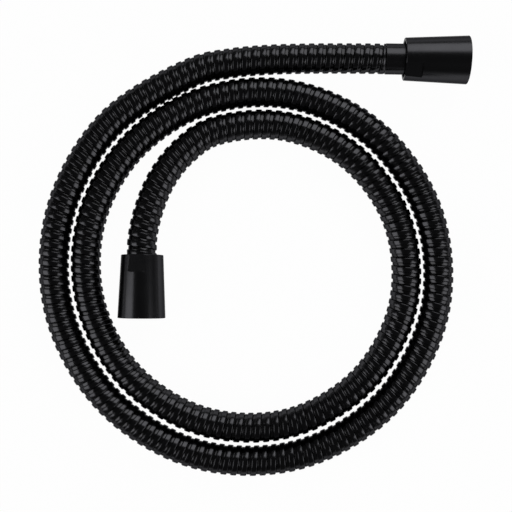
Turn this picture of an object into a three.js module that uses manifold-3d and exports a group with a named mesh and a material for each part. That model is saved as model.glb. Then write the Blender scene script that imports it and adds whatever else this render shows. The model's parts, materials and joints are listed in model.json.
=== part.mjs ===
// A shower hose lying in a flat coil of two and a quarter turns, wound inwards by hand.
// A black interlocked steel casing covers a rubber tube. Each end has a conical union nut for a G 1/2
// spigot. The handset's end also has a swivel sleeve, so that the hose doesn't twist as the handset turns.
// Millimetres, +Z up. The hose lies on z = 0 and the origin is under the middle of its outline.
import * as THREE from "three";
import { mergeVertices } from "three/addons/utils/BufferGeometryUtils.js";
import Module from "manifold-3d";

const wasm = await Module();
wasm.setup();

// Clearances
const SEAT_GAP = 0.3; // between faces that bear on each other
const RUNNING_GAP = 0.35; // between round pieces that turn or slide in each other

// Hose
const CASING_RADIUS = 7.7;
const CASING_WALL = 1.45;
const TUBE_RADIUS = 5.5;
const TUBE_WALL = 1.25;
const CASING_SIDES = 12;
const TUBE_SIDES = 8;
const HOSE_STATIONS = 78; // cross-sections along the casing

// Conical union nut, the same at both ends. Along its axis 0 is the narrow face, where the hose goes in.
const NUT_LENGTH = 32.3;
const NUT_NARROW_RADIUS = 10.8;
const NUT_WIDE_RADIUS = 12.2;
const NUT_EDGE_BREAK = 0.35;
const NUT_BORE_RADIUS = 9.0;
const FLATS_APART = 20.3; // spanner flats at the narrow end
const FLATS_LENGTH = 8.6;
const THREAD_CORE_RADIUS = 9.3; // G 1/2 internal thread, measured over its crests
const THREAD_ROOT_RADIUS = 10.48;
const SOCKET_DEPTH = 12.5;
const SHOULDER_THICKNESS = 2.4; // the wall in the nut that pulls on the flange

// Flanged pieces that the nuts pull against the spigots
const FLANGE_RADIUS = THREAD_CORE_RADIUS - SEAT_GAP;
const FLANGE_THICKNESS = 1.8;
const NECK_RADIUS = 6.3; // goes through the nut's shoulder
const WASHER_RADIUS = THREAD_CORE_RADIUS - SEAT_GAP;
const WASHER_HOLE_RADIUS = 5.6;
const WASHER_THICKNESS = 2.5;

// Barbed stems in the rubber tube's ends
const STEM_WATERWAY_RADIUS = 2.7;
const STEM_WALL = 0.6;
const BARB_HEIGHT = 0.3;
const BARB_PITCH = 2.4;
const STEM_BARBS = 5;

// Tap end: crimped ferrule inside the nut, and the guide bush behind it
const FERRULE_RADIUS = 8.7;
const FERRULE_SKIRT = 3.5; // the length that grips the casing
const BUSH_RADIUS = 8.7;
const BUSH_LENGTH = 2.4;
const BUSH_RECESS = 1.0;

// Handset end: swivel sleeve, the nipple that turns in it, its two O-rings and its clip
const SLEEVE_RADIUS = 7.8;
const SLEEVE_SHOWN = 9.6; // the length between the casing and the nut
const SLEEVE_STEP_DEPTH = 9.1; // from the sleeve's back to its inner step
const SLEEVE_FLANGE_THICKNESS = 1.6; // of the hose tail that lies on the step
const NIPPLE_WATERWAY_RADIUS = 3.2;
const SEAL_GROOVE_RADIUS = 4.7;
const SEAL_GROOVE_WIDTH = 2.0;
const SEAL_SHARES = [0.31, 0.73]; // of the way from the nipple's back to the clip's groove
const CLIP_THICKNESS = 0.6;
const CLIP_GROOVE_DEPTH = 0.5; // into the sleeve's bore
const CLIP_NIPPLE_GROOVE_RADIUS = 5.2;
const CLIP_SETBACK = 2.7; // from the sleeve's front face to the clip's groove
const CLIP_OPENING = 50; // degrees

const FINE_FACETS = 40;
const INNER_FACETS = 24;
const RING_FACETS = 6;

// Where the ends lie. A nut lies on its side, so its axis rises towards the mouth by the cone's half angle.
const NUT_RISE = Math.atan((NUT_WIDE_RADIUS - NUT_NARROW_RADIUS) / (NUT_LENGTH - 2 * NUT_EDGE_BREAK));
const NUT_AXIS_HEIGHT = NUT_NARROW_RADIUS * Math.cos(NUT_RISE) - NUT_EDGE_BREAK * Math.sin(NUT_RISE);
const TAP_END = { face: [-57.0, 1.2], heading: -90.4, flatsTurn: 8 };
const HANDSET_END = { face: [77.4, 101.7], heading: -1.4, flatsTurn: 42 };

// The hose's centre line from above: a straight run from the handset's end, the coil's radius at every
// COIL_STEP degrees, and the bend in to the tap's end.
const STRAIGHT_RUN = [
  [27, 102.4],
  [6.2, 101.8],
  [-11.9, 100.1],
];
const COIL_CENTRE = [-2.9, -2.8];
const COIL_START = 105;
const COIL_STEP = 30;
const COIL_RADII = [
  102.6, 100.9, 100.0, 100.4, 101.2, 102.3, 102.6, 101.9, 99.9, 96.8, 93.0, 89.5,
  86.3, 84.3, 83.5, 83.6, 84.3, 85.1, 85.6, 85.0, 83.3, 80.3, 76.5, 72.9,
];
const INWARD_BEND = [
  [-21.0, 64.7],
  [-36.1, 54.5],
  [-46.6, 41.3],
  [-53.1, 26.7],
];
const STRAIGHT_BEHIND_SLEEVE = 12;
const STRAIGHT_BEHIND_NUT = 9;

// Places along a nut's axis
const SEAT = NUT_LENGTH - SOCKET_DEPTH;
const SHOULDER_BACK = SEAT - SHOULDER_THICKNESS;
const FLANGE_BACK = SEAT + SEAT_GAP;
const FLANGE_FRONT = FLANGE_BACK + FLANGE_THICKNESS;
const WASHER_BACK = FLANGE_FRONT + SEAT_GAP;
const BODY_FRONT = SHOULDER_BACK - SEAT_GAP; // the ferrule's and the sleeve's front face
const FERRULE_BACK = BUSH_RECESS + BUSH_LENGTH + SEAT_GAP;
const CASING_END_AT_TAP = FERRULE_BACK + FERRULE_SKIRT - SEAT_GAP;
const SLEEVE_STEP = SLEEVE_STEP_DEPTH - SLEEVE_SHOWN;
const CASING_END_AT_HANDSET = -SLEEVE_SHOWN - SEAT_GAP;
const SLEEVE_TAIL_BACK = SLEEVE_STEP + SEAT_GAP;
const NIPPLE_BACK = SLEEVE_TAIL_BACK + SLEEVE_FLANGE_THICKNESS + SEAT_GAP;
const CLIP_BACK = BODY_FRONT - CLIP_SETBACK;
const SEAL_BACKS = SEAL_SHARES.map((share) => NIPPLE_BACK + share * (CLIP_BACK - NIPPLE_BACK));

// Radii that follow from what fits in what
const TUBE_GRIP_RADIUS = TUBE_RADIUS + RUNNING_GAP;
const SLEEVE_BORE_RADIUS = NECK_RADIUS + SEAT_GAP;

// Finishes
const finish = (color, roughness, metalness) => new THREE.MeshStandardMaterial({ color, roughness, metalness });
const BLACK_COAT = finish(0x101011, 0.42, 0.3);
const BLACK_CASING = finish(0x141415, 0.38, 0.4);
const BRASS = finish(0xb08d4f, 0.3, 1);
const STEEL = finish(0x9a9c9e, 0.35, 1);
const BLACK_RUBBER = finish(0x1b1b1c, 0.8, 0);
const GREY_RUBBER = finish(0x55585a, 0.75, 0);
const NYLON = finish(0x202122, 0.55, 0);

function named(name, geometry, material) {
  const mesh = new THREE.Mesh(geometry, material);
  mesh.name = name;
  return mesh;
}

// A turned piece about +Z. Its outline is a list of [radius, place along the axis] that closes on itself.
function turned(outline, facets) {
  const points = [...outline, outline[0]].map(([radius, place]) => new THREE.Vector2(radius, place));
  return new THREE.LatheGeometry(points, facets).rotateX(Math.PI / 2);
}

// A plain ring about +Z
function ring(innerRadius, outerRadius, back, front, facets) {
  const outline = [
    [innerRadius, back],
    [outerRadius, back],
    [outerRadius, front],
    [innerRadius, front],
  ];
  return turned(outline, facets);
}

function toSolid(geometry) {
  const bare = geometry.clone().deleteAttribute("normal").deleteAttribute("uv");
  const merged = mergeVertices(bare, 1e-4);
  const mesh = new wasm.Mesh({
    numProp: 3,
    vertProperties: new Float32Array(merged.attributes.position.array),
    triVerts: new Uint32Array(merged.index.array),
  });
  return new wasm.Manifold(mesh);
}

function toGeometry(solid) {
  const mesh = solid.getMesh();
  const geometry = new THREE.BufferGeometry();
  geometry.setAttribute("position", new THREE.BufferAttribute(mesh.vertProperties, 3));
  geometry.setIndex(new THREE.BufferAttribute(mesh.triVerts, 1));
  geometry.computeVertexNormals();
  return geometry;
}

// The piece with each cutter's volume taken away
function cut(geometry, cutters) {
  return toGeometry(cutters.reduce((solid, cutter) => solid.subtract(toSolid(cutter)), toSolid(geometry)));
}

// Conical nut: threaded socket, shoulder, bore for the ferrule or sleeve, and two spanner flats
function unionNut(flatsTurn) {
  const leadIn = THREAD_ROOT_RADIUS - THREAD_CORE_RADIUS;
  const outline = [
    [NUT_BORE_RADIUS + NUT_EDGE_BREAK, 0],
    [NUT_NARROW_RADIUS - NUT_EDGE_BREAK, 0],
    [NUT_NARROW_RADIUS, NUT_EDGE_BREAK],
    [NUT_WIDE_RADIUS, NUT_LENGTH - NUT_EDGE_BREAK],
    [NUT_WIDE_RADIUS - NUT_EDGE_BREAK, NUT_LENGTH],
    [THREAD_ROOT_RADIUS, NUT_LENGTH],
    [THREAD_CORE_RADIUS, NUT_LENGTH - leadIn],
    [THREAD_CORE_RADIUS, SEAT],
    [NECK_RADIUS + RUNNING_GAP, SEAT],
    [NECK_RADIUS + RUNNING_GAP, SHOULDER_BACK],
    [NUT_BORE_RADIUS, SHOULDER_BACK],
    [NUT_BORE_RADIUS, NUT_EDGE_BREAK],
  ];
  const flat = THREE.MathUtils.degToRad(flatsTurn);
  const cutters = [0, Math.PI].map((side) =>
    new THREE.BoxGeometry(NUT_WIDE_RADIUS, 2 * NUT_WIDE_RADIUS, 2 * FLATS_LENGTH)
      .translate((FLATS_APART + NUT_WIDE_RADIUS) / 2, 0, 0)
      .rotateZ(flat + side),
  );
  return cut(turned(outline, FINE_FACETS), cutters);
}

// Outer outline of a barbed stem from its tip to where it ends in a collar, each barb rising towards it
function barbs(tip) {
  const stemRadius = STEM_WATERWAY_RADIUS + STEM_WALL;
  const teeth = [];
  for (let barb = 0; barb < STEM_BARBS; barb++) {
    const start = tip + barb * BARB_PITCH;
    teeth.push([stemRadius, start], [stemRadius + BARB_HEIGHT, start + BARB_PITCH * 0.8]);
  }
  return teeth;
}

// Brass hose tail at the tap's end: barbed stem, neck through the nut's shoulder, and sealing flange
function tapTail() {
  const neckBack = BODY_FRONT + SEAT_GAP;
  const tip = neckBack - (STEM_BARBS + 1) * BARB_PITCH;
  return turned(
    [
      [STEM_WATERWAY_RADIUS, tip],
      ...barbs(tip),
      [STEM_WATERWAY_RADIUS + STEM_WALL, neckBack],
      [NECK_RADIUS, neckBack],
      [NECK_RADIUS, FLANGE_BACK],
      [FLANGE_RADIUS, FLANGE_BACK],
      [FLANGE_RADIUS, FLANGE_FRONT],
      [STEM_WATERWAY_RADIUS, FLANGE_FRONT],
    ],
    INNER_FACETS,
  );
}

// Steel ferrule: a wide skirt over the casing's end and a thick front that grips the rubber tube
function ferrule() {
  const skirtRadius = CASING_RADIUS + SEAT_GAP;
  const skirtFront = FERRULE_BACK + FERRULE_SKIRT;
  return turned(
    [
      [skirtRadius, FERRULE_BACK],
      [FERRULE_RADIUS, FERRULE_BACK],
      [FERRULE_RADIUS, BODY_FRONT],
      [TUBE_GRIP_RADIUS, BODY_FRONT],
      [TUBE_GRIP_RADIUS, skirtFront],
      [skirtRadius, skirtFront],
    ],
    INNER_FACETS,
  );
}

// Nylon bush in the nut's narrow end, which centres the nut on what goes through it
function guideBush(heldRadius) {
  return ring(heldRadius + RUNNING_GAP, BUSH_RADIUS, BUSH_RECESS, BUSH_RECESS + BUSH_LENGTH, INNER_FACETS);
}

function sealWasher() {
  return ring(WASHER_HOLE_RADIUS, WASHER_RADIUS, WASHER_BACK, WASHER_BACK + WASHER_THICKNESS, INNER_FACETS);
}

// Sleeve that shows between the casing and the nut: a step for the tail, and a groove for the clip
function swivelSleeve() {
  const grooveFront = CLIP_BACK + CLIP_THICKNESS + 2 * SEAT_GAP;
  const grooveRadius = SLEEVE_BORE_RADIUS + CLIP_GROOVE_DEPTH;
  return turned(
    [
      [TUBE_GRIP_RADIUS, -SLEEVE_SHOWN],
      [SLEEVE_RADIUS - NUT_EDGE_BREAK, -SLEEVE_SHOWN],
      [SLEEVE_RADIUS, NUT_EDGE_BREAK - SLEEVE_SHOWN],
      [SLEEVE_RADIUS, BODY_FRONT],
      [SLEEVE_BORE_RADIUS, BODY_FRONT],
      [SLEEVE_BORE_RADIUS, grooveFront],
      [grooveRadius, grooveFront],
      [grooveRadius, CLIP_BACK],
      [SLEEVE_BORE_RADIUS, CLIP_BACK],
      [SLEEVE_BORE_RADIUS, SLEEVE_STEP],
      [TUBE_GRIP_RADIUS, SLEEVE_STEP],
    ],
    FINE_FACETS,
  );
}

// Brass hose tail at the handset's end: barbed stem and a collar that lies on the sleeve's step
function handsetTail() {
  const tip = SLEEVE_TAIL_BACK - (STEM_BARBS + 1) * BARB_PITCH;
  const collarFront = SLEEVE_TAIL_BACK + SLEEVE_FLANGE_THICKNESS;
  return turned(
    [
      [STEM_WATERWAY_RADIUS, tip],
      ...barbs(tip),
      [STEM_WATERWAY_RADIUS + STEM_WALL, SLEEVE_TAIL_BACK],
      [NECK_RADIUS, SLEEVE_TAIL_BACK],
      [NECK_RADIUS, collarFront],
      [STEM_WATERWAY_RADIUS, collarFront],
    ],
    INNER_FACETS,
  );
}

// Brass nipple that turns in the sleeve: two seal grooves, a clip groove, neck and sealing flange
function swivelNipple() {
  const groove = (back, width, radius) => [
    [NECK_RADIUS, back],
    [radius, back],
    [radius, back + width],
    [NECK_RADIUS, back + width],
  ];
  return turned(
    [
      [NIPPLE_WATERWAY_RADIUS, NIPPLE_BACK],
      [NECK_RADIUS, NIPPLE_BACK],
      ...SEAL_BACKS.flatMap((back) => groove(back, SEAL_GROOVE_WIDTH, SEAL_GROOVE_RADIUS)),
      ...groove(CLIP_BACK, CLIP_THICKNESS + 2 * SEAT_GAP, CLIP_NIPPLE_GROOVE_RADIUS),
      [NECK_RADIUS, FLANGE_BACK],
      [FLANGE_RADIUS, FLANGE_BACK],
      [FLANGE_RADIUS, FLANGE_FRONT],
      [NIPPLE_WATERWAY_RADIUS, FLANGE_FRONT],
    ],
    INNER_FACETS,
  );
}

// Rubber O-ring in one of the nipple's grooves
function sealRing(grooveBack) {
  const sectionRadius = (SLEEVE_BORE_RADIUS - SEAL_GROOVE_RADIUS) / 2 - SEAT_GAP;
  const middleRadius = (SLEEVE_BORE_RADIUS + SEAL_GROOVE_RADIUS) / 2;
  const middle = grooveBack + SEAL_GROOVE_WIDTH / 2;
  return new THREE.TorusGeometry(middleRadius, sectionRadius, RING_FACETS, INNER_FACETS).translate(0, 0, middle);
}

// Open spring-steel ring that lies half in the sleeve's groove and half in the nipple's
function retainingClip() {
  const innerRadius = CLIP_NIPPLE_GROOVE_RADIUS + SEAT_GAP;
  const outerRadius = SLEEVE_BORE_RADIUS + CLIP_GROOVE_DEPTH - SEAT_GAP;
  const half = THREE.MathUtils.degToRad(CLIP_OPENING / 2);
  const shape = new THREE.Shape();
  shape.absarc(0, 0, outerRadius, half, 2 * Math.PI - half, false);
  shape.absarc(0, 0, innerRadius, 2 * Math.PI - half, half, true);
  return new THREE.ExtrudeGeometry(shape, {
    depth: CLIP_THICKNESS,
    bevelEnabled: false,
    curveSegments: INNER_FACETS / 2,
  }).translate(0, 0, CLIP_BACK + SEAT_GAP);
}

// The frame of an end: its origin is the middle of the nut's narrow face, +Z points out of the mouth, and
// +X leans up
function endFrame({ face, heading }) {
  const turn = THREE.MathUtils.degToRad(heading);
  const outward = new THREE.Vector3(Math.cos(turn), Math.sin(turn), Math.tan(NUT_RISE)).normalize();
  const sideways = new THREE.Vector3(0, 0, 1).cross(outward).negate().normalize();
  const upward = new THREE.Vector3().crossVectors(sideways, outward);
  const frame = new THREE.Group();
  frame.position.set(...face, NUT_AXIS_HEIGHT);
  frame.quaternion.setFromRotationMatrix(new THREE.Matrix4().makeBasis(upward, sideways, outward));
  frame.updateMatrix();
  return frame;
}

const onAxis = (frame, place) => new THREE.Vector3(0, 0, place).applyMatrix4(frame.matrix);

// Points that the centre line goes through, from the handset's end to the tap's end. Off the nuts the
// hose lies on the floor, and near each of them it lifts to the nut's axis.
function centreLine(handset, tap) {
  const coil = COIL_RADII.map((radius, i) => {
    const turn = THREE.MathUtils.degToRad(COIL_START + i * COIL_STEP);
    return [COIL_CENTRE[0] + radius * Math.cos(turn), COIL_CENTRE[1] + radius * Math.sin(turn)];
  });
  const lift = NUT_AXIS_HEIGHT - CASING_RADIUS;
  const liftRun = (2 * lift) / Math.tan(NUT_RISE);
  const free = [...STRAIGHT_RUN, ...coil, ...INWARD_BEND].map(([x, y]) => {
    const point = new THREE.Vector3(x, y, CASING_RADIUS);
    for (const frame of [handset, tap]) {
      const away = Math.hypot(x - frame.position.x, y - frame.position.y);
      if (away < liftRun) point.z += lift * (1 - away / liftRun) ** 2;
    }
    return point;
  });
  const atHandset = [0, STRAIGHT_BEHIND_SLEEVE].map((back) => onAxis(handset, CASING_END_AT_HANDSET - back));
  const atTap = [-STRAIGHT_BEHIND_NUT, CASING_END_AT_TAP].map((place) => onAxis(tap, place));
  return new THREE.CatmullRomCurve3([...atHandset, ...free, ...atTap], false, "centripetal");
}

// A path of straight pieces between stations, with one cross-section at each station
class StationPath extends THREE.Curve {
  constructor(stations) {
    super();
    this.stations = stations;
  }

  getUtoTmapping(u) {
    return u;
  }

  getPoint(t, target = new THREE.Vector3()) {
    const pieces = this.stations.length - 1;
    const piece = THREE.MathUtils.clamp(Math.floor(t * pieces), 0, pieces - 1);
    return target.lerpVectors(this.stations[piece], this.stations[piece + 1], t * pieces - piece);
  }
}

function polygon(radius, sides) {
  return Array.from({ length: sides }, (_, i) => {
    const turn = (2 * Math.PI * i) / sides;
    return new THREE.Vector2(radius * Math.cos(turn), radius * Math.sin(turn));
  });
}

// A hollow tube through the stations
function hollowTube(stations, radius, wall, sides) {
  const section = new THREE.Shape(polygon(radius, sides));
  section.holes.push(new THREE.Path(polygon(radius - wall, sides)));
  return new THREE.ExtrudeGeometry(section, {
    steps: stations.length - 1,
    extrudePath: new StationPath(stations),
  });
}

const handsetEnd = endFrame(HANDSET_END);
const tapEnd = endFrame(TAP_END);
const casingStations = centreLine(handsetEnd, tapEnd).getSpacedPoints(HOSE_STATIONS);
const tubeStations = [onAxis(handsetEnd, SLEEVE_STEP), ...casingStations, onAxis(tapEnd, BODY_FRONT)];

tapEnd.add(
  named("tap_nut", unionNut(TAP_END.flatsTurn), BLACK_COAT),
  named("tap_nut_bush", guideBush(CASING_RADIUS), NYLON),
  named("tap_ferrule", ferrule(), STEEL),
  named("tap_hose_tail", tapTail(), BRASS),
  named("tap_washer", sealWasher(), GREY_RUBBER),
);

handsetEnd.add(
  named("handset_nut", unionNut(HANDSET_END.flatsTurn), BLACK_COAT),
  named("handset_nut_bush", guideBush(SLEEVE_RADIUS), NYLON),
  named("swivel_sleeve", swivelSleeve(), BLACK_COAT),
  named("handset_hose_tail", handsetTail(), BRASS),
  named("swivel_nipple", swivelNipple(), BRASS),
  ...SEAL_BACKS.map((back, i) => named(`swivel_o_ring_${i + 1}`, sealRing(back), BLACK_RUBBER)),
  named("swivel_clip", retainingClip(), STEEL),
  named("handset_washer", sealWasher(), GREY_RUBBER),
);

const hose = new THREE.Group();
hose.add(
  named("hose_casing", hollowTube(casingStations, CASING_RADIUS, CASING_WALL, CASING_SIDES), BLACK_CASING),
  named("inner_tube", hollowTube(tubeStations, TUBE_RADIUS, TUBE_WALL, TUBE_SIDES), BLACK_RUBBER),
  tapEnd,
  handsetEnd,
);

export default hose;
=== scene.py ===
import json
import math

import bmesh
import bpy
import numpy as np
from mathutils import Matrix, Vector


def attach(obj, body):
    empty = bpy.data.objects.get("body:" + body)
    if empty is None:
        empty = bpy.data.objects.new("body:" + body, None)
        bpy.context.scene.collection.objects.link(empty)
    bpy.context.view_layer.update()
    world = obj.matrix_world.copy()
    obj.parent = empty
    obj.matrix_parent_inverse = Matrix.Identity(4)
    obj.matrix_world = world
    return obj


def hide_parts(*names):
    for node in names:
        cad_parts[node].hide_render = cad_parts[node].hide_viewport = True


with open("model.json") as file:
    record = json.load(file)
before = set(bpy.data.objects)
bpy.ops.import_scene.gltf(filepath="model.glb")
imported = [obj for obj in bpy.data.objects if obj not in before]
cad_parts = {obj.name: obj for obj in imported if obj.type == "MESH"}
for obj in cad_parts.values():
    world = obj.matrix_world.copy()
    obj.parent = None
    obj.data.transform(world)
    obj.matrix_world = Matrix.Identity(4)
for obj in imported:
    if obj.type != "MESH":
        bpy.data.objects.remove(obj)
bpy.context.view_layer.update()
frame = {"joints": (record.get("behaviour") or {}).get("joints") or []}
bpy.ops.object.select_all(action="DESELECT")
MM = 0.001

# ---------------------------------------------------------------------------------------------------
# Camera: it looks straight down over the coil, as in the photograph, with the hose's two ends inside
# the picture.
# ---------------------------------------------------------------------------------------------------
PICTURE_CENTRE = (0.00137, 0.00067)
CAMERA_HEIGHT = 0.4358
CAMERA_LENS = 58.2

bpy.ops.object.camera_add(location=(*PICTURE_CENTRE, CAMERA_HEIGHT), rotation=(0, 0, 0))
camera = bpy.context.object
camera.data.lens = CAMERA_LENS
camera.data.sensor_width = 36
camera.data.clip_start = 0.01
bpy.context.scene.camera = camera


# ---------------------------------------------------------------------------------------------------
# Hose casing: an interlocked strip of black coated steel, wound left-handed round the rubber tube.
# A broad rounded ridge and a low one take turns along it. It is crimped in a ferrule at the tap's end
# and held in the swivel sleeve at the handset's end.
# ---------------------------------------------------------------------------------------------------
def end_frame(joint_name):
    """The place of an end: +Z runs out of the nut's mouth along the joint's axis, and +X leans up."""
    joint = next(j for j in frame["joints"] if j["name"] == joint_name)
    outward = Vector(joint["axis"]).normalized()
    sideways = outward.cross(Vector((0, 0, 1))).normalized()
    upward = sideways.cross(outward)
    turn = Matrix((upward, sideways, outward)).transposed()
    return Matrix.Translation(joint["pos_m"]) @ turn.to_4x4()


HANDSET = end_frame("swivel_spin")
TAP = end_frame("tap_nut_spin")
CASING_RADIUS = 7.7
NUT_AXIS_HEIGHT = TAP.translation.z / MM
NUT_RISE = math.asin(TAP.col[2].z)


def on_axis(end, place):
    """The point at that place in millimetres along an end's axis"""
    return np.array(end @ Vector((0, 0, place * MM)))


# The centre line from above, in millimetres: a straight run, the coil's radius at every 30 degrees,
# and the bend inwards
STRAIGHT_RUN = [(27, 102.4), (6.2, 101.8), (-11.9, 100.1)]
COIL_CENTRE = (-2.9, -2.8)
COIL_START = 105
COIL_STEP = 30
COIL_RADII = [
    102.6, 100.9, 100.0, 100.4, 101.2, 102.3, 102.6, 101.9, 99.9, 96.8, 93.0, 89.5,
    86.3, 84.3, 83.5, 83.6, 84.3, 85.1, 85.6, 85.0, 83.3, 80.3, 76.5, 72.9,
]  # fmt: skip
INWARD_BEND = [(-21.0, 64.7), (-36.1, 54.5), (-46.6, 41.3), (-53.1, 26.7)]
CASING_END_AT_HANDSET = -9.9
CASING_END_AT_TAP = 6.9
STRAIGHT_BEHIND_SLEEVE = 12
STRAIGHT_BEHIND_NUT = 9


def route_points():
    """Points that the centre line goes through. Near each nut the hose lifts to the nut's axis."""
    turns = [math.radians(COIL_START + i * COIL_STEP) for i in range(len(COIL_RADII))]
    coil = [
        (COIL_CENTRE[0] + r * math.cos(a), COIL_CENTRE[1] + r * math.sin(a))
        for r, a in zip(COIL_RADII, turns)
    ]
    lift = NUT_AXIS_HEIGHT - CASING_RADIUS
    lift_run = 2 * lift / math.tan(NUT_RISE)
    free = []
    for x, y in STRAIGHT_RUN + coil + INWARD_BEND:
        z = CASING_RADIUS
        for end in (HANDSET, TAP):
            away = math.dist((x, y), (end.translation.x / MM, end.translation.y / MM))
            if away < lift_run:
                z += lift * (1 - away / lift_run) ** 2
        free.append(np.array((x, y, z)) * MM)
    first = [on_axis(HANDSET, CASING_END_AT_HANDSET - back) for back in (0, STRAIGHT_BEHIND_SLEEVE)]
    last = [on_axis(TAP, place) for place in (-STRAIGHT_BEHIND_NUT, CASING_END_AT_TAP)]
    return first + free + last


def smooth_curve(points, per_piece=160):
    """Points on the centripetal Catmull-Rom curve through the given ones"""
    around = [2 * points[0] - points[1], *points, 2 * points[-1] - points[-2]]
    t = np.arange(per_piece)[:, None] / per_piece
    pieces = []
    for p0, p1, p2, p3 in zip(around, around[1:], around[2:], around[3:]):
        d0, d1, d2 = (math.dist(a, b) ** 0.5 for a, b in ((p0, p1), (p1, p2), (p2, p3)))
        leaving = (p1 - p0) / d0 - (p2 - p0) / (d0 + d1) + (p2 - p1) / d1
        arriving = (p2 - p1) / d1 - (p3 - p1) / (d1 + d2) + (p3 - p2) / d2
        m1, m2 = leaving * d1, arriving * d1
        pieces.append(
            p1 + m1 * t + (3 * (p2 - p1) - 2 * m1 - m2) * t**2 + (2 * (p1 - p2) + m1 + m2) * t**3
        )
    return np.vstack([*pieces, points[-1]])


class Line:
    """A line through points, read by the distance along it"""

    def __init__(self, points):
        steps = np.linalg.norm(np.diff(points, axis=0), axis=1)
        self.points = points
        self.marks = np.concatenate([[0], np.cumsum(steps)])
        self.length = self.marks[-1]
        self.headings = np.gradient(points, self.marks, axis=0)

    def read(self, values, distance):
        return np.stack([np.interp(distance, self.marks, values[:, i]) for i in range(3)], -1)

    def skin(self, distance, turn, radius):
        """Points at that radius and turn about the line"""
        heading = self.read(self.headings, distance)
        left = np.cross((0, 0, 1), heading)
        left /= np.linalg.norm(left, axis=-1, keepdims=True)
        up = np.cross(heading, left)
        up /= np.linalg.norm(up, axis=-1, keepdims=True)
        out = np.cos(turn)[..., None] * left + np.sin(turn)[..., None] * up
        return self.read(self.points, distance) + radius[..., None] * out


def wound_skin(length, pitch, profile, sides, hand):
    """A skin whose profile of [place, radius] is wound along it, right-handed for hand 1 and left-handed
    for -1: distance, turn and radius of its vertices, its faces, and their places on the strip."""
    place, radius = np.array(profile, float).T
    rows = np.arange(-2 * sides, sides * (int(length / pitch) + 3))[:, None]
    start = pitch * rows / sides
    free = start + place
    distance = np.clip(free, 0, length)
    radii = np.interp((distance - start) % pitch, place, radius, period=pitch)
    turn = np.broadcast_to(hand * 2 * np.pi * rows / sides, free.shape)
    columns = len(profile)
    row = np.arange(len(rows) - 1 - sides)[:, None]
    column = np.arange(columns)[None, :]
    last = column == columns - 1
    near = row * columns + column
    far = np.where(last, (row + sides) * columns, near + 1)
    faces = np.stack([near, near + columns, far + columns, far], -1).reshape(-1, 4)
    ends = free.ravel()[faces]
    kept = ~((ends <= 0).all(1) | (ends >= length).all(1))
    across = np.append(place, pitch) / pitch
    along_strip = np.stack([row, row + 1, row + 1, row], -1) / sides + 0 * column[..., None]
    over_strip = np.stack([across[column]] * 2 + [across[column + 1]] * 2, -1) + 0 * row[..., None]
    strip = np.stack([along_strip, over_strip], -1).reshape(-1, 4, 2)
    return distance.ravel(), turn.ravel(), radii.ravel(), faces[kept], strip[kept]


def ring_skin(distance, radius, sides):
    """Rings about a line joined one to the next: distance, turn and radius of vertices, and the faces."""
    rings = len(distance)
    turn = np.tile(2 * np.pi * np.arange(sides) / sides, rings)
    ring = np.arange(rings - 1)[:, None] * sides
    side = np.arange(sides)[None, :]
    after = (side + 1) % sides
    faces = np.stack([ring + side, ring + after, ring + sides + after, ring + sides + side], -1)
    spread = [np.repeat(np.asarray(values, float), sides) for values in (distance, radius)]
    return spread[0], turn, spread[1], faces.reshape(-1, 4)


WELD = 2e-6


def make_mesh(name, parts, strips=None):
    """A closed mesh from parts of (points, faces), with doubles merged and faces turned outwards"""
    offsets = np.cumsum([0] + [len(points) for points, _ in parts])
    faces = np.vstack([part[1] + offset for part, offset in zip(parts, offsets)])
    mesh = bpy.data.meshes.new(name)
    mesh.from_pydata(np.vstack([points for points, _ in parts]).tolist(), [], faces.tolist())
    if strips is not None:
        spots = np.zeros((len(faces), 4, 2))
        spots[: len(strips)] = strips
        mesh.uv_layers.new(name="strip").data.foreach_set("uv", spots.ravel())
    work = bmesh.new()
    work.from_mesh(mesh)
    bmesh.ops.remove_doubles(work, verts=work.verts, dist=WELD)
    bmesh.ops.recalc_face_normals(work, faces=work.faces)
    work.to_mesh(mesh)
    work.free()
    obj = bpy.data.objects.new(name, mesh)
    bpy.context.scene.collection.objects.link(obj)
    mesh.shade_smooth()
    return obj


RIDGE_PITCH = 4.774 * MM
RIDGE_PROFILE = [
    (0.00, 6.97), (0.05, 7.25), (0.14, 7.48), (0.30, 7.63), (0.52, 7.69), (2.50, 7.69), (2.72, 7.63),
    (2.88, 7.48), (2.97, 7.22), (3.03, 6.62), (3.20, 6.62), (3.27, 6.89), (3.38, 6.97), (4.70, 6.97),
]  # fmt: skip
CASING_SIDES = 24
CASING_INNER_RADIUS = 6.0 * MM
CASING_INNER_RINGS = 180

centre = Line(smooth_curve(route_points()))
casing_rows = wound_skin(centre.length, RIDGE_PITCH, np.array(RIDGE_PROFILE) * MM, CASING_SIDES, -1)
outer = (centre.skin(*casing_rows[:3]), casing_rows[3])


def end_cap(line, at_end):
    """The casing's cut end: from the wound skin's edge to the inner wall"""
    turn = 2 * np.pi * np.arange(CASING_SIDES) / CASING_SIDES
    distance = line.length * at_end
    places, radii = np.array(RIDGE_PROFILE).T * MM
    phase = (distance + RIDGE_PITCH * turn / (2 * np.pi)) % RIDGE_PITCH
    edge = np.interp(phase, places, radii, period=RIDGE_PITCH)
    spot = np.full(2 * CASING_SIDES, distance)
    radius = np.concatenate([edge, np.full(CASING_SIDES, CASING_INNER_RADIUS)])
    _, _, _, faces = ring_skin([0, 0], [0, 0], CASING_SIDES)
    return line.skin(spot, np.tile(turn, 2), radius), faces


inner_marks = np.linspace(0, centre.length, CASING_INNER_RINGS)
inner_radii = np.full(CASING_INNER_RINGS, CASING_INNER_RADIUS)
inner_rows = ring_skin(inner_marks, inner_radii, CASING_SIDES)
inner = (centre.skin(*inner_rows[:3]), inner_rows[3])
casing = make_mesh(
    "casing_strip", [outer, inner, end_cap(centre, 0), end_cap(centre, 1)], casing_rows[4]
)


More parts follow.
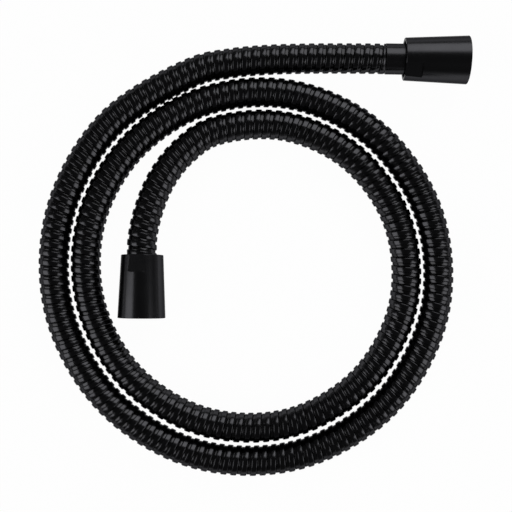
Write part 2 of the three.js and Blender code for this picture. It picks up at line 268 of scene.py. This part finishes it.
def node_tools(tree):
    """A function that adds a node with its settings and socket values, and one that links two sockets"""

    def add(kind, sockets=(), **settings):
        node = tree.nodes.new(kind)
        for key, value in settings.items():
            setattr(node, key, value)
        for key, value in dict(sockets).items():
            node.inputs[key].default_value = value
        return node

    return add, tree.links.new


def new_material(name, sockets=()):
    """A material, its shader with those socket values, and the tools for its nodes"""
    material = bpy.data.materials.new(name)
    material.use_nodes = True
    shader = material.node_tree.nodes["Principled BSDF"]
    for key, value in dict(sockets).items():
        shader.inputs[key].default_value = value
    return material, shader, *node_tools(material.node_tree)


def spread_over(low, high, low_out=0.0, high_out=1.0):
    """A Map Range node's socket values"""
    return {"From Min": low, "From Max": high, "To Min": low_out, "To Max": high_out}


def wear_group():
    """Shared surface detail: fine grain, broad patches and a bumpy normal, from coordinates in metres"""
    group = bpy.data.node_groups.new("surface_wear", "ShaderNodeTree")
    face = group.interface
    face.new_socket("Vector", in_out="INPUT", socket_type="NodeSocketVector")
    for name, usual in (("Grain Scale", 3000), ("Patch Scale", 120), ("Depth", 0.00002)):
        socket = face.new_socket(name, in_out="INPUT", socket_type="NodeSocketFloat")
        socket.default_value = usual
    for output, kind in (("Grain", "Float"), ("Patches", "Float"), ("Normal", "Vector")):
        face.new_socket(output, in_out="OUTPUT", socket_type="NodeSocket" + kind)
    add, link = node_tools(group)
    given, result = add("NodeGroupInput"), add("NodeGroupOutput")
    grain = add("ShaderNodeTexNoise", {"Detail": 3})
    patches = add("ShaderNodeTexNoise", {"Detail": 5, "Roughness": 0.6})
    bump = add("ShaderNodeBump", {"Strength": 0.6})
    spread = add("ShaderNodeMapRange", spread_over(0.38, 0.68))
    for noise, scale in ((grain, "Grain Scale"), (patches, "Patch Scale")):
        link(given.outputs["Vector"], noise.inputs["Vector"])
        link(given.outputs[scale], noise.inputs["Scale"])
    link(grain.outputs["Fac"], bump.inputs["Height"])
    link(given.outputs["Depth"], bump.inputs["Distance"])
    link(patches.outputs["Fac"], spread.inputs["Value"])
    link(grain.outputs["Fac"], result.inputs["Grain"])
    link(spread.outputs["Result"], result.inputs["Patches"])
    link(bump.outputs["Normal"], result.inputs["Normal"])
    return group


WEAR = wear_group()


def casing_finish():
    """Black coat on steel strip: drawn lines along the strip, and painted shade: a darker tone in patches
    over the groove and the low ridge between the broad ridges
    """
    material, shader, add, link = new_material(
        "casing_coat", {"Metallic": 1, "Specular Tint": (0.4, 0.4, 0.4, 1)}
    )
    strip = add("ShaderNodeUVMap", uv_map="strip")
    stretch = add("ShaderNodeVectorMath", {1: (0.024, 0.012, 0)}, operation="MULTIPLY")
    place = add("ShaderNodeTexCoord")
    lines = add("ShaderNodeTexNoise", {"Scale": 1500, "Detail": 2})
    wear = add("ShaderNodeGroup", node_tree=WEAR)
    for socket, value in (("Grain Scale", 2600), ("Patch Scale", 90), ("Depth", 0.000003)):
        wear.inputs[socket].default_value = value
    split = add("ShaderNodeSeparateXYZ")
    # Painted shade: the base colour goes darker, in patches, over the groove and the low ridge that lie
    # between the broad ridges.
    groove = add("ShaderNodeMapRange", spread_over(0.62, 0.65))
    painted_groove_shade = add("ShaderNodeMath", operation="MULTIPLY")
    tint = add("ShaderNodeMix", data_type="RGBA")
    tint.inputs["A"].default_value = (0.039, 0.039, 0.042, 1)
    tint.inputs["B"].default_value = (0.030, 0.030, 0.031, 1)
    gloss = add("ShaderNodeMapRange", spread_over(0.3, 0.7, 0.16, 0.22))
    link(strip.outputs["UV"], stretch.inputs[0])
    link(stretch.outputs["Vector"], lines.inputs["Vector"])
    link(strip.outputs["UV"], split.inputs["Vector"])
    link(split.outputs["Y"], groove.inputs["Value"])
    link(place.outputs["Object"], wear.inputs["Vector"])
    link(groove.outputs["Result"], painted_groove_shade.inputs[0])
    link(wear.outputs["Patches"], painted_groove_shade.inputs[1])
    link(painted_groove_shade.outputs["Value"], tint.inputs["Factor"])
    link(tint.outputs["Result"], shader.inputs["Base Color"])
    link(lines.outputs["Fac"], gloss.inputs["Value"])
    link(gloss.outputs["Result"], shader.inputs["Roughness"])
    link(wear.outputs["Normal"], shader.inputs["Normal"])
    return material


casing.data.materials.append(casing_finish())
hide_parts("hose_casing")
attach(casing, "hose")


# ---------------------------------------------------------------------------------------------------
# Inner tube: plain black rubber tube that carries the water inside the casing. Its ends are pushed
# over the barbed tails and held by the ferrule and the sleeve.
# ---------------------------------------------------------------------------------------------------
LINER_RADIUS = 5.5 * MM
LINER_BORE_RADIUS = 4.25 * MM
LINER_RINGS = 420
LINER_SIDES = 32
SLEEVE_STEP = -0.5
BODY_FRONT = 17.1

liner_line = Line(np.vstack([on_axis(HANDSET, SLEEVE_STEP), centre.points, on_axis(TAP, BODY_FRONT)]))
liner_marks = np.linspace(0, liner_line.length, LINER_RINGS)
liner_rings = ring_skin(
    [*liner_marks, *liner_marks[::-1], 0],
    [LINER_RADIUS] * LINER_RINGS + [LINER_BORE_RADIUS] * LINER_RINGS + [LINER_RADIUS],
    LINER_SIDES,
)
liner = make_mesh("rubber_liner", [(liner_line.skin(*liner_rings[:3]), liner_rings[3])])


def matt_finish(name, colour, dusty, roughness, grain_scale):
    """Rubber or nylon: a dull surface with fine grain and paler patches"""
    material, shader, add, link = new_material(name)
    place = add("ShaderNodeTexCoord")
    wear = add("ShaderNodeGroup", node_tree=WEAR)
    wear.inputs["Grain Scale"].default_value = grain_scale
    wear.inputs["Patch Scale"].default_value = 260
    tint = add("ShaderNodeMix", data_type="RGBA")
    tint.inputs["A"].default_value = (*colour, 1)
    tint.inputs["B"].default_value = (*dusty, 1)
    gloss = add("ShaderNodeMapRange", spread_over(0, 1, roughness - 0.08, roughness + 0.08))
    link(place.outputs["Object"], wear.inputs["Vector"])
    link(wear.outputs["Patches"], tint.inputs["Factor"])
    link(wear.outputs["Grain"], gloss.inputs["Value"])
    link(tint.outputs["Result"], shader.inputs["Base Color"])
    link(gloss.outputs["Result"], shader.inputs["Roughness"])
    link(wear.outputs["Normal"], shader.inputs["Normal"])
    return material


liner.data.materials.append(matt_finish("tube_rubber", (0.011,) * 3, (0.02,) * 3, 0.7, 2200))
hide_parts("inner_tube")
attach(liner, "hose")


# ---------------------------------------------------------------------------------------------------
# Union nuts: conical black coated brass nuts, one at each end, that turn freely and screw onto G 1/2
# spigots. Two spanner flats are cut in the narrow end, and the wide end holds the thread.
# ---------------------------------------------------------------------------------------------------
NUT_LENGTH = 32.3
NUT_NARROW_RADIUS = 10.8
NUT_WIDE_RADIUS = 12.2
NUT_EDGE_BREAK = 0.35
NUT_BORE_RADIUS = 9.0
NUT_SIDES = 96
TAP_FLATS_TURN = 8
HANDSET_FLATS_TURN = 42
FLATS_APART = 20.3
FLATS_LENGTH = 8.6
FLATS_ROUND = 0.4
THREAD_PITCH = 1.814
THREAD_CORE_RADIUS = 9.32
THREAD_ROOT_RADIUS = 10.48
SEAT = 19.8
SHOULDER_BACK = 17.4
NECK_HOLE_RADIUS = 6.65


def eased(outline, radius, steps=3):
    """The closed outline with its corners turned into short arcs"""
    corners = [np.array(point, float) for point in outline]
    result = []
    for i, corner in enumerate(corners):
        before, after = corners[i - 1], corners[(i + 1) % len(corners)]
        arms = [before - corner, after - corner]
        reach = [min(radius, 0.45 * np.linalg.norm(arm)) for arm in arms]
        start, stop = (corner + arm * far / np.linalg.norm(arm) for arm, far in zip(arms, reach))
        for t in np.linspace(0, 1, steps + 1):
            result.append((1 - t) ** 2 * start + 2 * t * (1 - t) * corner + t**2 * stop)
    return result


def turned(name, outline, closed=True, sides=NUT_SIDES, degrees=360):
    """A piece turned about +Z from an outline of (radius, place along the axis) in millimetres"""
    mesh = bpy.data.meshes.new(name)
    points = [(radius * MM, 0, place * MM) for radius, place in outline]
    edges = [(i, i + 1) for i in range(len(points) - 1)] + ([(len(points) - 1, 0)] if closed else [])
    mesh.from_pydata(points, edges, [])
    obj = bpy.data.objects.new(name, mesh)
    bpy.context.scene.collection.objects.link(obj)
    bpy.ops.object.select_all(action="DESELECT")
    obj.select_set(True)
    bpy.context.view_layer.objects.active = obj
    bpy.ops.object.mode_set(mode="EDIT")
    bpy.ops.mesh.select_all(action="SELECT")
    bpy.ops.mesh.spin(steps=sides, angle=math.radians(degrees), center=(0, 0, 0), axis=(0, 0, 1))
    bpy.ops.mesh.select_all(action="SELECT")
    bpy.ops.mesh.remove_doubles(threshold=WELD)
    if closed and degrees < 360:
        bpy.ops.mesh.fill_holes(sides=0)
    bpy.ops.mesh.select_all(action="SELECT")
    bpy.ops.mesh.normals_make_consistent(inside=False)
    bpy.ops.object.mode_set(mode="OBJECT")
    return obj


def thread_wall():
    """The socket's wall with its thread, which runs out into a relief at the seat and at the mouth"""
    depth = NUT_LENGTH - SEAT
    profile = [(0, 0), (0.30, 0), (0.78, 1), (1.05, 1), (1.53, 0)]
    distance, turn, height, faces, _ = wound_skin(depth, THREAD_PITCH, profile, NUT_SIDES, 1)
    relief = np.clip((distance - 0.9) / 0.9, 0, 1)
    mouth = np.clip((depth - distance) / (THREAD_ROOT_RADIUS - THREAD_CORE_RADIUS), 0, 1)
    limit = np.minimum(relief, mouth)
    radius = THREAD_ROOT_RADIUS - (THREAD_ROOT_RADIUS - THREAD_CORE_RADIUS) * np.minimum(height, limit)
    points = np.stack([radius * np.cos(turn), radius * np.sin(turn), SEAT + distance], -1) * MM
    return make_mesh("thread", [(points, faces)])


def cut_flats(obj, turn):
    """Cuts the two spanner flats and eases their edges"""
    for side in (0, 180):
        bpy.ops.mesh.primitive_cube_add(size=1)
        cutter = bpy.context.object
        cutter.scale = (NUT_WIDE_RADIUS * MM, 2 * NUT_WIDE_RADIUS * MM, 2 * FLATS_LENGTH * MM)
        middle = Vector(((FLATS_APART + NUT_WIDE_RADIUS) / 2 * MM, 0, 0))
        cutter.location = Matrix.Rotation(math.radians(turn + side), 3, "Z") @ middle
        cutter.rotation_euler = (0, 0, math.radians(turn + side))
        bpy.ops.object.select_all(action="DESELECT")
        bpy.context.view_layer.objects.active = obj
        obj.select_set(True)
        difference = obj.modifiers.new("flat", "BOOLEAN")
        difference.operation = "DIFFERENCE"
        difference.solver = "EXACT"
        difference.object = cutter
        bpy.ops.object.modifier_apply(modifier=difference.name)
        bpy.data.objects.remove(cutter)
    across = Vector((math.cos(math.radians(turn)), math.sin(math.radians(turn)), 0))
    bpy.ops.object.mode_set(mode="EDIT")
    bpy.ops.mesh.select_mode(type="EDGE")
    bpy.ops.mesh.select_all(action="DESELECT")
    work = bmesh.from_edit_mesh(obj.data)
    work.normal_update()
    for edge in work.edges:
        faces = edge.link_faces
        if len(faces) != 2 or faces[0].normal.angle(faces[1].normal, 0) < math.radians(12):
            continue
        on_flat = [abs(face.normal.dot(across)) > 0.9995 for face in faces]
        on_step = [
            face.normal.z < -0.999 and abs(face.calc_center_median().z - FLATS_LENGTH * MM) < 1e-5
            for face in faces
        ]
        edge.select_set(any(on_flat) or any(on_step))
    bmesh.update_edit_mesh(obj.data)
    bpy.ops.mesh.bevel(offset=FLATS_ROUND * MM, segments=3, affect="EDGES", clamp_overlap=True)
    bpy.ops.mesh.select_mode(type="VERT")
    bpy.ops.object.mode_set(mode="OBJECT")


def union_nut(name, flats_turn):
    """A conical nut about +Z, its narrow face at 0"""
    slope = (NUT_WIDE_RADIUS - NUT_NARROW_RADIUS) / NUT_LENGTH
    cone_loops = [
        (NUT_NARROW_RADIUS + slope * place, place) for place in (FLATS_LENGTH + 0.6, FLATS_LENGTH + 1.6)
    ]
    rim = [
        (NUT_BORE_RADIUS, NUT_EDGE_BREAK),
        (NUT_BORE_RADIUS + NUT_EDGE_BREAK, 0),
        (NUT_NARROW_RADIUS, 0),
        *cone_loops,
        (NUT_WIDE_RADIUS, NUT_LENGTH),
        (THREAD_ROOT_RADIUS, NUT_LENGTH),
        (THREAD_ROOT_RADIUS, SEAT),
        (NECK_HOLE_RADIUS, SEAT),
        (NECK_HOLE_RADIUS, SHOULDER_BACK),
        (NUT_BORE_RADIUS, SHOULDER_BACK),
    ]
    ease = [0.12, 0.12, 0.35, 0, 0, 0.35, 0, 0, 0.2, 0.2, 0.1]
    outline = []
    for i, (corner, soft) in enumerate(zip(rim, ease)):
        before, after = np.array(rim[i - 1]), np.array(rim[(i + 1) % len(rim)])
        corner = np.array(corner)
        to_before = (before - corner) / np.linalg.norm(before - corner)
        to_after = (after - corner) / np.linalg.norm(after - corner)
        count = 5 if soft > 0.3 else 3
        for t in np.linspace(0, 1, count) if soft else [0]:
            arms = (1 - t) ** 2 * to_before + t**2 * to_after
            outline.append(corner + soft * arms)
    mouth = next(i for i, p in enumerate(outline) if np.allclose(p, (THREAD_ROOT_RADIUS, NUT_LENGTH)))
    nut = turned(name, outline[mouth + 1 :] + outline[: mouth + 1], closed=False)
    wall = thread_wall()
    bpy.ops.object.select_all(action="DESELECT")
    wall.select_set(True)
    nut.select_set(True)
    bpy.context.view_layer.objects.active = nut
    bpy.ops.object.join()
    bpy.ops.object.mode_set(mode="EDIT")
    bpy.ops.mesh.select_all(action="SELECT")
    bpy.ops.mesh.remove_doubles(threshold=WELD)
    bpy.ops.mesh.normals_make_consistent(inside=False)
    bpy.ops.object.mode_set(mode="OBJECT")
    cut_flats(nut, flats_turn)
    return nut


def settle(obj, end, body, node, finish, sharp=32):
    """Puts a piece made about +Z on its end's axis, and gives it its finish and its place in the frame"""
    points = np.array([vertex.co for vertex in obj.data.vertices])
    lathe = obj.data.attributes.new("lathe", "FLOAT_VECTOR", "POINT")
    turned_at = np.column_stack([np.hypot(points[:, 0], points[:, 1]), points[:, 2], 0 * points[:, 0]])
    lathe.data.foreach_set("vector", turned_at.ravel())
    obj.data.transform(end)
    bpy.ops.object.select_all(action="DESELECT")
    obj.select_set(True)
    bpy.context.view_layer.objects.active = obj
    bpy.ops.object.shade_smooth_by_angle(angle=math.radians(sharp))
    weighted = obj.modifiers.new("weighted", "WEIGHTED_NORMAL")
    weighted.keep_sharp = True
    bpy.ops.object.modifier_apply(modifier=weighted.name)
    obj.data.materials.clear()
    obj.data.materials.append(finish)
    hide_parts(node)
    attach(obj, body)
    obj.select_set(False)
    return obj


def turned_finish(name, colour, worn, roughness, edge_tint=1, marks=0.00002, patchy=0.065):
    """Turned metal, bare or coated: rings left by the tool, and patches of another colour and gloss"""
    material, shader, add, link = new_material(
        name, {"Metallic": 1, "Specular Tint": (edge_tint, edge_tint, edge_tint, 1)}
    )
    lathe = add("ShaderNodeAttribute", attribute_name="lathe")
    rings = add("ShaderNodeTexNoise", {"Scale": 9000, "Detail": 2})
    place = add("ShaderNodeTexCoord")
    wear = add("ShaderNodeGroup", node_tree=WEAR)
    for socket, value in (("Grain Scale", 2400), ("Patch Scale", 110), ("Depth", marks / 2)):
        wear.inputs[socket].default_value = value
    ridges = add("ShaderNodeBump", {"Strength": 0.5, "Distance": marks})
    tint = add("ShaderNodeMix", data_type="RGBA")
    tint.inputs["A"].default_value = (*colour, 1)
    tint.inputs["B"].default_value = (*worn, 1)
    gloss = add("ShaderNodeMapRange", spread_over(0, 1, roughness - patchy, roughness + patchy))
    link(lathe.outputs["Vector"], rings.inputs["Vector"])
    link(place.outputs["Object"], wear.inputs["Vector"])
    link(rings.outputs["Fac"], ridges.inputs["Height"])
    link(wear.outputs["Normal"], ridges.inputs["Normal"])
    link(wear.outputs["Patches"], tint.inputs["Factor"])
    link(wear.outputs["Patches"], gloss.inputs["Value"])
    link(tint.outputs["Result"], shader.inputs["Base Color"])
    link(gloss.outputs["Result"], shader.inputs["Roughness"])
    link(ridges.outputs["Normal"], shader.inputs["Normal"])
    return material


BLACK_COAT = turned_finish(
    "nut_coat",
    (0.039, 0.039, 0.042),
    (0.038, 0.038, 0.041),
    0.25,
    edge_tint=0.4,
    marks=0.000001,
    patchy=0.015,
)
BRASS = turned_finish("brass", (0.55, 0.38, 0.14), (0.42, 0.27, 0.10), 0.3)
STEEL = turned_finish("steel", (0.42, 0.42, 0.43), (0.30, 0.29, 0.28), 0.34)

tap_nut = union_nut("tap_union_nut", TAP_FLATS_TURN)
handset_nut = union_nut("handset_union_nut", HANDSET_FLATS_TURN)
settle(tap_nut, TAP, "tap_nut", "tap_nut", BLACK_COAT)
settle(handset_nut, HANDSET, "handset_nut", "handset_nut", BLACK_COAT)

# ---------------------------------------------------------------------------------------------------
# Guide bushes: black nylon rings pressed into each nut's narrow end. They keep the nut centred on the
# casing or on the sleeve and free to turn.
# ---------------------------------------------------------------------------------------------------
BUSH_BORE_ON_CASING = 8.05
BUSH_BORE_ON_SLEEVE = 8.15
INSERT_RADIUS = 8.7
BUSH_BACK = 1.0
BUSH_FRONT = 3.4
NYLON = matt_finish("nylon", (0.013,) * 3, (0.018,) * 3, 0.5, 1800)


def ring(name, inner_radius, outer_radius, back, front, ease):
    """A plain ring with eased corners"""
    outline = [(inner_radius, back), (outer_radius, back), (outer_radius, front), (inner_radius, front)]
    return turned(name, eased(outline, ease))


for name, bore, end, body, node in (
    ("tap_guide_bush", BUSH_BORE_ON_CASING, TAP, "tap_nut", "tap_nut_bush"),
    ("handset_guide_bush", BUSH_BORE_ON_SLEEVE, HANDSET, "handset_nut", "handset_nut_bush"),
):
    bush = ring(name, bore, INSERT_RADIUS, BUSH_BACK, BUSH_FRONT, 0.15)
    settle(bush, end, body, node, NYLON)

# ---------------------------------------------------------------------------------------------------
# Crimped ferrule at the tap's end: a steel ring inside the nut. Its skirt grips the casing and its
# thick front presses the rubber tube onto the barbed tail.
# ---------------------------------------------------------------------------------------------------
SKIRT_BORE_RADIUS = 8.0
LINER_GRIP_RADIUS = 5.85
FERRULE_BACK = 3.7
CASING_STOP = 7.2
ferrule_outline = [
    (SKIRT_BORE_RADIUS, FERRULE_BACK),
    (INSERT_RADIUS, FERRULE_BACK),
    (INSERT_RADIUS, BODY_FRONT),
    (LINER_GRIP_RADIUS, BODY_FRONT),
    (LINER_GRIP_RADIUS, CASING_STOP),
    (SKIRT_BORE_RADIUS, CASING_STOP),
]
ferrule = turned("crimp_ferrule", eased(ferrule_outline, 0.25))
settle(ferrule, TAP, "hose", "tap_ferrule", STEEL)

# ---------------------------------------------------------------------------------------------------
# Hose tails: turned brass pieces whose barbed stems sit in the rubber tube. The tap's tail ends in the
# flange that its nut pulls on, and the handset's in a collar that lies on the sleeve's inner step.
# ---------------------------------------------------------------------------------------------------
STEM_WATERWAY = 2.7
STEM_RADIUS = 3.3
BARB_PITCH = 2.4
BARB_HEIGHT = 0.3
BARBS = 5
TAP_STEM_TIP = 3.0
HANDSET_STEM_TIP = -14.6
COLLAR_BACK = -0.2
COLLAR_FRONT = 1.4
NECK_RADIUS = 6.3
FLANGE_RADIUS = 9.0
FLANGE_BACK = 20.1
FLANGE_FRONT = 21.9


def barbs(tip):
    """Outline of the barbs, which rise towards the piece's collar"""
    teeth = []
    for start in (tip + i * BARB_PITCH for i in range(BARBS)):
        teeth += [(STEM_RADIUS, start), (STEM_RADIUS + BARB_HEIGHT, start + 0.8 * BARB_PITCH)]
    return teeth


tap_tail_outline = [
    (STEM_WATERWAY, TAP_STEM_TIP),
    *barbs(TAP_STEM_TIP),
    (STEM_RADIUS, SHOULDER_BACK),
    (NECK_RADIUS, SHOULDER_BACK),
    (NECK_RADIUS, FLANGE_BACK),
    (FLANGE_RADIUS, FLANGE_BACK),
    (FLANGE_RADIUS, FLANGE_FRONT),
    (STEM_WATERWAY, FLANGE_FRONT),
]
handset_tail_outline = [
    (STEM_WATERWAY, HANDSET_STEM_TIP),
    *barbs(HANDSET_STEM_TIP),
    (STEM_RADIUS, COLLAR_BACK),
    (NECK_RADIUS, COLLAR_BACK),
    (NECK_RADIUS, COLLAR_FRONT),
    (STEM_WATERWAY, COLLAR_FRONT),
]
for name, outline, end, node in (
    ("tap_tail", tap_tail_outline, TAP, "tap_hose_tail"),
    ("handset_tail", handset_tail_outline, HANDSET, "handset_hose_tail"),
):
    settle(turned(name, eased(outline, 0.12)), end, "hose", node, BRASS)

# ---------------------------------------------------------------------------------------------------
# Sealing washers: flat grey rubber rings, one in each nut on the flange. The spigot's end presses on
# them.
# ---------------------------------------------------------------------------------------------------
WASHER_BORE_RADIUS = 5.6
WASHER_BACK = 22.2
WASHER_FRONT = 24.7
WASHER_RUBBER = matt_finish("washer_rubber", (0.09, 0.095, 0.1), (0.13, 0.135, 0.14), 0.68, 1500)
for name, end, body, node in (
    ("tap_seal_washer", TAP, "hose", "tap_washer"),
    ("handset_seal_washer", HANDSET, "swivel", "handset_washer"),
):
    washer = ring(name, WASHER_BORE_RADIUS, FLANGE_RADIUS, WASHER_BACK, WASHER_FRONT, 0.25)
    settle(washer, end, body, node, WASHER_RUBBER)

# ---------------------------------------------------------------------------------------------------
# Swivel sleeve: the plain black coated tube between the casing and the handset's nut. It holds the
# casing's end, has an inner step for the hose tail, and a groove for the snap ring.
# ---------------------------------------------------------------------------------------------------
SLEEVE_BACK = -9.6
SLEEVE_RADIUS = 7.8
SLEEVE_BORE_RADIUS = 6.6
CLIP_GROOVE_RADIUS = 7.1
CLIP_GROOVE_BACK = 14.4
CLIP_GROOVE_FRONT = 15.6
sleeve_outline = [
    (LINER_GRIP_RADIUS, SLEEVE_BACK),
    (SLEEVE_RADIUS, SLEEVE_BACK),
    (SLEEVE_RADIUS, BODY_FRONT),
    (SLEEVE_BORE_RADIUS, BODY_FRONT),
    (SLEEVE_BORE_RADIUS, CLIP_GROOVE_FRONT),
    (CLIP_GROOVE_RADIUS, CLIP_GROOVE_FRONT),
    (CLIP_GROOVE_RADIUS, CLIP_GROOVE_BACK),
    (SLEEVE_BORE_RADIUS, CLIP_GROOVE_BACK),
    (SLEEVE_BORE_RADIUS, SLEEVE_STEP),
    (LINER_GRIP_RADIUS, SLEEVE_STEP),
]
sleeve = turned("sleeve", eased(sleeve_outline, 0.2))
settle(sleeve, HANDSET, "hose", "swivel_sleeve", BLACK_COAT)

# ---------------------------------------------------------------------------------------------------
# Swivel nipple: a turned brass piece that turns in the sleeve on two O-rings, so that the handset can
# turn without twisting the hose. Its flange carries the handset's nut and washer.
# ---------------------------------------------------------------------------------------------------
NIPPLE_WATERWAY = 3.2
NIPPLE_BACK = 1.7
SEAL_GROOVE_RADIUS = 4.7
SEAL_GROOVE_WIDTH = 2
SEAL_BACKS = [NIPPLE_BACK + share * (CLIP_GROOVE_BACK - NIPPLE_BACK) for share in (0.31, 0.73)]
NIPPLE_CLIP_RADIUS = 5.2


def groove(back, front, radius):
    """Outline of a groove in the nipple"""
    return [(NECK_RADIUS, back), (radius, back), (radius, front), (NECK_RADIUS, front)]


nipple_outline = [
    (NIPPLE_WATERWAY, NIPPLE_BACK),
    (NECK_RADIUS, NIPPLE_BACK),
    *groove(SEAL_BACKS[0], SEAL_BACKS[0] + SEAL_GROOVE_WIDTH, SEAL_GROOVE_RADIUS),
    *groove(SEAL_BACKS[1], SEAL_BACKS[1] + SEAL_GROOVE_WIDTH, SEAL_GROOVE_RADIUS),
    *groove(CLIP_GROOVE_BACK, CLIP_GROOVE_FRONT, NIPPLE_CLIP_RADIUS),
    (NECK_RADIUS, FLANGE_BACK),
    (FLANGE_RADIUS, FLANGE_BACK),
    (FLANGE_RADIUS, FLANGE_FRONT),
    (NIPPLE_WATERWAY, FLANGE_FRONT),
]
nipple = turned("nipple", eased(nipple_outline, 0.12))
settle(nipple, HANDSET, "swivel", "swivel_nipple", BRASS)

# ---------------------------------------------------------------------------------------------------
# O-rings: two black rubber rings in the nipple's grooves. They seal it in the sleeve's bore and turn
# with it.
# ---------------------------------------------------------------------------------------------------
SEAL_MIDDLE_RADIUS = 5.65
SEAL_THICKNESS = 1.3
SEAL_RUBBER = matt_finish("seal_rubber", (0.012,) * 3, (0.016,) * 3, 0.45, 2600)
for i, back in enumerate(SEAL_BACKS, 1):
    bpy.ops.mesh.primitive_torus_add(
        major_segments=NUT_SIDES,
        minor_segments=20,
        major_radius=SEAL_MIDDLE_RADIUS * MM,
        minor_radius=SEAL_THICKNESS / 2 * MM,
        location=(0, 0, 0),
    )
    seal = bpy.context.object
    seal.name = f"o_ring_{i}"
    seal.data.transform(Matrix.Translation((0, 0, (back + SEAL_GROOVE_WIDTH / 2) * MM)))
    settle(seal, HANDSET, "swivel", f"swivel_o_ring_{i}", SEAL_RUBBER, sharp=60)

# ---------------------------------------------------------------------------------------------------
# Snap ring: an open ring of spring steel, half in the sleeve's groove and half in the nipple's, which
# holds the nipple in the sleeve.
# ---------------------------------------------------------------------------------------------------
CLIP_INNER_RADIUS = 5.5
CLIP_OUTER_RADIUS = 6.8
CLIP_BACK = 14.7
CLIP_FRONT = 15.3
CLIP_GAP = 50
snap_outline = [
    (CLIP_INNER_RADIUS, CLIP_BACK),
    (CLIP_OUTER_RADIUS, CLIP_BACK),
    (CLIP_OUTER_RADIUS, CLIP_FRONT),
    (CLIP_INNER_RADIUS, CLIP_FRONT),
]
snap_ring = turned("snap_ring", eased(snap_outline, 0.08), degrees=360 - CLIP_GAP)
snap_ring.data.transform(Matrix.Rotation(math.radians(CLIP_GAP / 2), 4, "Z"))
settle(snap_ring, HANDSET, "hose", "swivel_clip", STEEL)

# ---------------------------------------------------------------------------------------------------
# Points on the hose's centre line at evenly spaced marks along it. They are read and not kept.
# ---------------------------------------------------------------------------------------------------
PATH_POINTS = 331
cord_marks = np.linspace(0, centre.length, PATH_POINTS)
centre.read(centre.points, cord_marks).tolist()

# ---------------------------------------------------------------------------------------------------
# Floor, background and lamps: white all round, with broad soft lamps to three sides and none overhead
# ---------------------------------------------------------------------------------------------------
FLOOR_DROP = 0.00005
FLOOR_WHITE = 0.975
GLOW_AT_HORIZON = 0.45
GLOW_OVERHEAD = 0.08

bpy.ops.mesh.primitive_plane_add(size=6, location=(0, 0, -FLOOR_DROP))
floor = bpy.context.object
floor.name = "floor"
floor_material, paint, add, link = new_material(
    "floor_white",
    {"Base Color": (0.9, 0.9, 0.9, 1), "Roughness": 0.9, "Specular IOR Level": 0.1},
)
white = add("ShaderNodeEmission")
ray = add("ShaderNodeLightPath")
mirrored = add("ShaderNodeMath", operation="MAXIMUM")
seen = add("ShaderNodeMath", operation="MAXIMUM")
share = add("ShaderNodeMath", {1: FLOOR_WHITE}, operation="MULTIPLY")
blend = add("ShaderNodeMixShader")
link(ray.outputs["Is Glossy Ray"], mirrored.inputs[0])
link(ray.outputs["Is Transmission Ray"], mirrored.inputs[1])
link(ray.outputs["Is Camera Ray"], seen.inputs[0])
link(mirrored.outputs["Value"], seen.inputs[1])
link(seen.outputs["Value"], share.inputs[0])
link(share.outputs["Value"], blend.inputs["Fac"])
link(paint.outputs["BSDF"], blend.inputs[1])
link(white.outputs["Emission"], blend.inputs[2])
link(blend.outputs["Shader"], floor_material.node_tree.nodes["Material Output"].inputs["Surface"])
floor.data.materials.append(floor_material)

world = bpy.data.worlds.new("studio")
bpy.context.scene.world = world
world.use_nodes = True
add, link = node_tools(world.node_tree)
backdrop = world.node_tree.nodes["Background"]
backdrop.inputs["Color"].default_value = (1, 1, 1, 1)
backdrop.inputs["Strength"].default_value = 1
room = add("ShaderNodeBackground", {"Strength": 1})
ray = add("ShaderNodeLightPath")
direction = add("ShaderNodeTexCoord")
height = add("ShaderNodeSeparateXYZ")
fade = add("ShaderNodeMapRange", spread_over(0, 0.25, GLOW_AT_HORIZON, GLOW_OVERHEAD))
blend = add("ShaderNodeMixShader")
link(direction.outputs["Generated"], height.inputs["Vector"])
link(height.outputs["Z"], fade.inputs["Value"])
link(fade.outputs["Result"], room.inputs["Color"])
link(ray.outputs["Is Camera Ray"], blend.inputs["Fac"])
link(room.outputs["Background"], blend.inputs[1])
link(backdrop.outputs["Background"], blend.inputs[2])
link(blend.outputs["Shader"], world.node_tree.nodes["World Output"].inputs["Surface"])


LAMP_DISTANCE = 1.1


def soft_lamp(name, toward, from_vertical, across, along, radiance):
    """An area lamp that faces the coil: its bearing and its angle from straight up, in degrees, its size
    across and along its tilt, in metres, and how bright it looks next to a white floor at 1."""
    bearing, tilt = math.radians(toward), math.radians(from_vertical)
    way = Vector(
        (math.sin(tilt) * math.cos(bearing), math.sin(tilt) * math.sin(bearing), math.cos(tilt))
    )
    bpy.ops.object.light_add(type="AREA", location=way * LAMP_DISTANCE)
    lamp = bpy.context.object
    lamp.name = name
    lamp.data.shape = "RECTANGLE"
    lamp.data.size = across
    lamp.data.size_y = along
    lamp.data.energy = radiance * math.pi * across * along
    lamp.rotation_euler = (-way).to_track_quat("-Z", "Y").to_euler()


soft_lamp("lamp_back", 64, 53, 0.9, 0.84, 2.2)
soft_lamp("lamp_left", 196, 57, 0.84, 0.8, 2.2)
soft_lamp("lamp_right", -27, 56, 0.78, 0.7, 2.1)

bpy.context.scene.view_settings.view_transform = "Standard"
